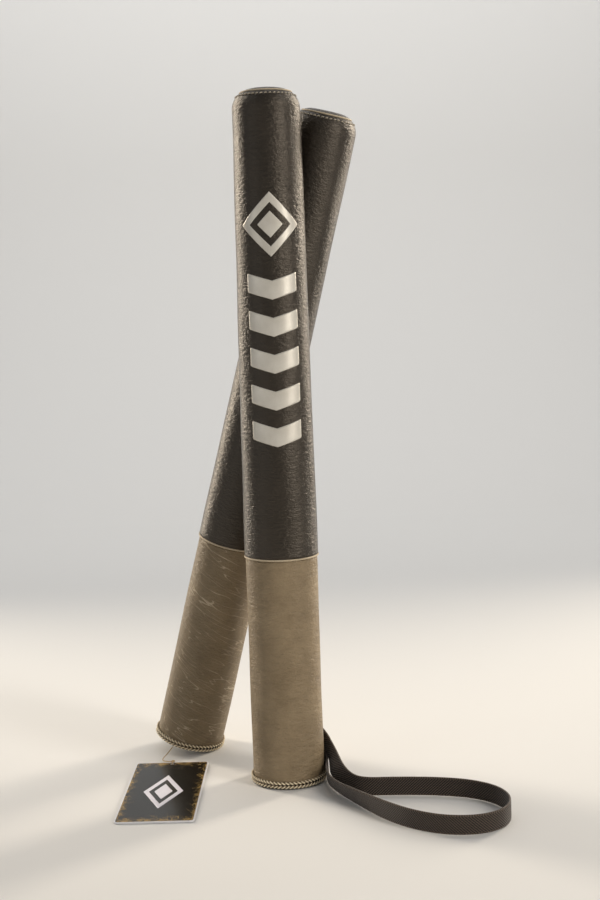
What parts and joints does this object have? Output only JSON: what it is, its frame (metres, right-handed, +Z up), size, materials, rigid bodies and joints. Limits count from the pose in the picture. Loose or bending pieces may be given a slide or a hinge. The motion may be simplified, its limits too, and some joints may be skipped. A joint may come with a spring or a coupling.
{
  "type": "focus training sticks",
  "caption": "Padded striking sticks in stitched leather with rounded tips, a plain grip, braided lacing round the butt, a webbing wrist strap and a hang tag on a string.",
  "frame": {"origin": "middle of the standing stick's butt face, on the floor", "axes": "+Z up along the standing stick, +Y from the standing stick towards the leaning one behind it, +X to the right, the side the wrist strap lies on"},
  "size_m": [0.3254, 0.2953, 0.603],
  "materials": {
    "core_plastic": "smooth extruded tube",
    "plug_plastic": "moulded, matte",
    "foam": "closed-cell foam, matte",
    "firm_foam": "dense foam rubber, matte",
    "striking_leather": "black coated leather, fine grain, half gloss",
    "grip_leather": "taupe leather, matte",
    "butt_leather": "dark leather, matte",
    "cream_trim": "cream rolled leather, half matte",
    "cream_lacing": "cream braided lace, half matte",
    "thread": "waxed sewing thread",
    "webbing": "woven webbing, twill face",
    "tag_board": "coated card, pale cut edge",
    "tag_print": "glossy black print",
    "string": "thin twisted golden cord"
  },
  "bodies": {
    "front_stick": {"front_butt_cap": "butt_leather", "front_butt_pad": "firm_foam", "front_core_plug_butt": "plug_plastic", "front_core_plug_tip": "plug_plastic", "front_core_tube": "core_plastic", "front_grip_cover": "grip_leather", "front_grip_foam": "foam", "front_grip_lip": "cream_trim", "front_grip_welt": "grip_leather", "front_lacing_lower": "cream_lacing", "front_lacing_upper": "cream_lacing", "front_patch_stitching": "thread", "front_strap_patch": "grip_leather", "front_striking_cover": "striking_leather", "front_striking_foam": "foam", "front_striking_welt": "striking_leather", "front_tip_cap": "striking_leather", "front_tip_pad": "foam", "front_tip_piping": "cream_trim", "front_tip_stitching": "thread"},
    "rear_stick": {"rear_butt_cap": "butt_leather", "rear_butt_pad": "firm_foam", "rear_core_plug_butt": "plug_plastic", "rear_core_plug_tip": "plug_plastic", "rear_core_tube": "core_plastic", "rear_grip_cover": "grip_leather", "rear_grip_foam": "foam", "rear_grip_lip": "cream_trim", "rear_grip_welt": "grip_leather", "rear_lacing_lower": "cream_lacing", "rear_lacing_upper": "cream_lacing", "rear_patch_stitching": "thread", "rear_strap_patch": "grip_leather", "rear_striking_cover": "striking_leather", "rear_striking_foam": "foam", "rear_striking_welt": "striking_leather", "rear_tip_cap": "striking_leather", "rear_tip_pad": "foam", "rear_tip_piping": "cream_trim", "rear_tip_stitching": "thread"},
    "wrist_strap": {"wrist_strap": "webbing"},
    "hang_tag": {"tag_card": "tag_board", "tag_film": "tag_print", "tag_knot": "string", "tag_loop": "string", "tag_string": "string"}
  },
  "joints": [
    {"name": "rear_stick_lift", "type": "slide", "parent": "front_stick", "child": "rear_stick", "axis": [0, 0, 1], "range_m": [0, 0.62]},
    {"name": "wrist_strap_swing", "type": "hinge", "parent": "front_stick", "child": "wrist_strap", "pos_m": [0.02122, 0.02579, 0.0487], "axis": [-0.6353, -0.7723, 0], "range_deg": [0, 60]},
    {"name": "hang_tag_swing", "type": "hinge", "parent": "rear_stick", "child": "hang_tag", "pos_m": [-0.10898, 0.07769, 0.00867], "axis": [-1, 0, 0], "range_deg": [0, 40]}
  ]
}
